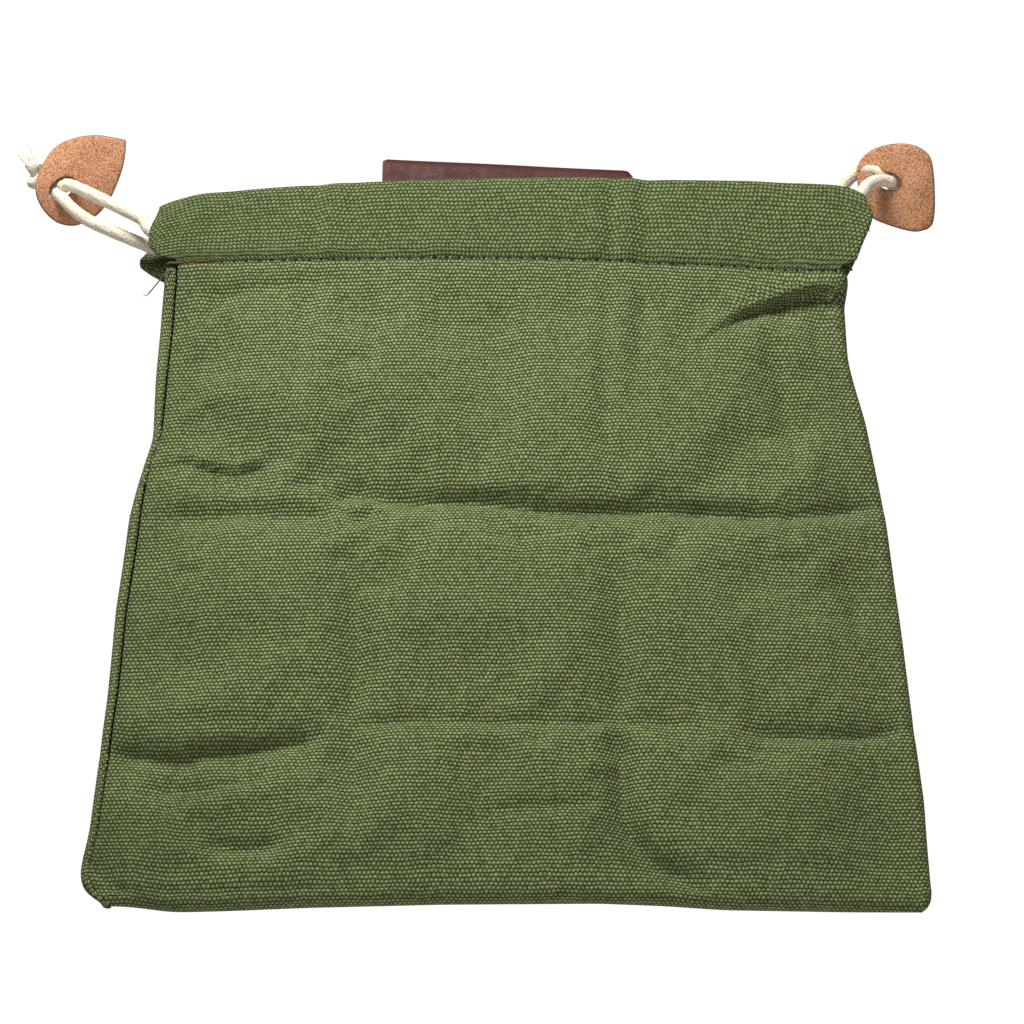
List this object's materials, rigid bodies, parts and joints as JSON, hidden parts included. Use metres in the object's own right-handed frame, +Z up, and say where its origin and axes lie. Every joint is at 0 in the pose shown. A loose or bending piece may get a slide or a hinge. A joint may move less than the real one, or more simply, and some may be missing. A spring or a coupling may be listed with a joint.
{
  "type": "drawstring pouch",
  "caption": "Flat canvas drawstring pouch with braided cords, leaf-shaped leather cord tabs and a folded leather belt loop on its back.",
  "frame": {"origin": "centre of the belt slot", "axes": "+X along the belt slot, to the right seen from the front; +Y to the back of the bag, towards the wearer; +Z up"},
  "size_m": [0.3293, 0.0278, 0.2857],
  "materials": {
    "canvas": "olive green cotton canvas, matte",
    "thread": "brown sewing thread",
    "cord": "cream braided cotton",
    "suede": "tan suede, matte",
    "dark_leather": "dark reddish-brown smooth leather",
    "brass": "antique brass"
  },
  "bodies": {
    "bag": {"front_panel_upper": "canvas", "back_panel_upper": "canvas", "side_seam_upper": "canvas", "side_fold_upper": "canvas", "front_casing": "canvas", "back_casing": "canvas", "front_hem_stitching": "thread", "back_hem_stitching": "thread", "bar_tacks": "thread", "thread_tails": "thread", "left_cord_turn": "cord", "right_cord_turn": "cord", "belt_loop": "dark_leather", "loop_stitching": "thread", "loop_rivets": "brass"},
    "lower_bag": {"front_panel_lower": "canvas", "back_panel_lower": "canvas", "side_seam_lower": "canvas", "side_fold_lower": "canvas", "bottom_seam": "canvas"},
    "left_cord": {"left_drawcord": "cord"},
    "left_cord_end": {"left_cord_tail": "cord", "left_knot": "cord"},
    "left_leaf_tab": {"left_tab": "suede"},
    "right_cord": {"right_drawcord": "cord"},
    "right_cord_end": {"right_cord_tail": "cord", "right_knot": "cord"},
    "right_leaf_tab": {"right_tab": "suede"}
  },
  "joints": [
    {"name": "canvas_fold", "type": "hinge", "parent": "bag", "child": "lower_bag", "pos_m": [0, -0.0187, -0.11], "axis": [-1, 0, 0], "range_deg": [0, 165]},
    {"name": "left_cord_pull", "type": "slide", "parent": "bag", "child": "left_cord", "axis": [-1, 0, 0], "range_m": [0, 0.06]},
    {"name": "left_cord_swing", "type": "hinge", "parent": "left_cord", "child": "left_cord_end", "pos_m": [-0.1245, -0.0136, -0.0095], "axis": [0, -1, 0], "range_deg": [0, 80], "stiffness_Nm_per_rad": 0.005, "springref_deg": -3.44},
    {"name": "left_tab_slide", "type": "slide", "parent": "left_cord_end", "child": "left_leaf_tab", "axis": [-0.7986, 0, 0.6018], "range_m": [-0.01, 0.0015]},
    {"name": "right_cord_pull", "type": "slide", "parent": "bag", "child": "right_cord", "axis": [1, 0, 0], "range_m": [0, 0.06]},
    {"name": "right_cord_swing", "type": "hinge", "parent": "right_cord", "child": "right_cord_end", "pos_m": [0.1245, -0.0136, 0.0035], "axis": [0, 1, 0], "range_deg": [-12, 70], "stiffness_Nm_per_rad": 0.005, "springref_deg": -2.75},
    {"name": "right_tab_slide", "type": "slide", "parent": "right_cord_end", "child": "right_leaf_tab", "axis": [0.5, 0, 0.866], "range_m": [0, 0.002]}
  ]
}
